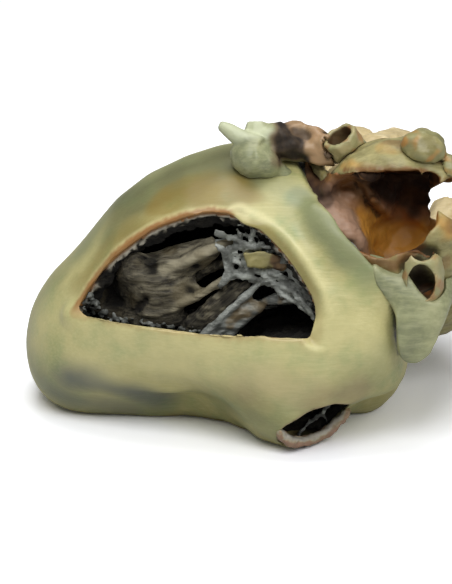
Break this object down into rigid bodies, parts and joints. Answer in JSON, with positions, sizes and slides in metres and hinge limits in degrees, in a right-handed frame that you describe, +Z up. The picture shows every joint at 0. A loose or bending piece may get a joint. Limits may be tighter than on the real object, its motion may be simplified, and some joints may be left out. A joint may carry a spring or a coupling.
{
  "type": "dog heart model",
  "caption": "Preserved heart lying on its side, with windows cut into both ventricles and the left atrium that show papillary muscles, chordae and valves",
  "frame": {"origin": "under the middle of the heart's box, at table level", "axes": "+X from the apex to the base, +Y away from the windowed caudal side, +Z up, the animal's left"},
  "size_m": [0.1136, 0.077, 0.0689],
  "materials": {
    "epicardium": "satin cured tissue, cream to olive",
    "muscle": "dull fibrous grey-brown",
    "fibrous_tissue": "dry whitish membrane",
    "vessel": "satin cream with brown cut edges",
    "atrium": "satin ochre and brown, slightly translucent",
    "auricle": "satin green-grey",
    "fat": "smooth waxy cream"
  },
  "bodies": {
    "root": {"epicardium": "epicardium", "left_ventricle_wall": "muscle", "interventricular_septum": "muscle", "right_ventricle_wall": "muscle", "valve_plate": "fibrous_tissue", "aorta": "vessel", "pulmonary_trunk": "vessel", "left_atrium": "atrium", "right_atrium": "atrium", "interatrial_septum": "atrium", "pulmonary_vein_upper": "vessel", "pulmonary_vein_back": "vessel", "cranial_vena_cava": "vessel", "caudal_vena_cava": "vessel", "coronary_sinus": "vessel", "left_auricle": "auricle", "right_auricle": "auricle", "roof_fat": "fat", "coronary_groove_fat": "fat", "coronary_groove_fat_front": "fat", "papillary_muscle_upper": "muscle", "papillary_muscle_lower": "muscle", "papillary_muscle_right": "muscle", "moderator_band": "muscle", "mitral_leaflet_upper": "fibrous_tissue", "mitral_leaflet_lower": "fibrous_tissue", "tricuspid_leaflet_front": "fibrous_tissue", "tricuspid_leaflet_top": "fibrous_tissue", "tricuspid_leaflet_bottom": "fibrous_tissue", "aortic_cusp_1": "fibrous_tissue", "aortic_cusp_2": "fibrous_tissue", "aortic_cusp_3": "fibrous_tissue", "pulmonary_cusp_1": "fibrous_tissue", "pulmonary_cusp_2": "fibrous_tissue", "pulmonary_cusp_3": "fibrous_tissue", "chordae_upper": "fibrous_tissue", "chordae_lower": "fibrous_tissue", "chordae_right": "fibrous_tissue"}
  },
  "joints": []
}
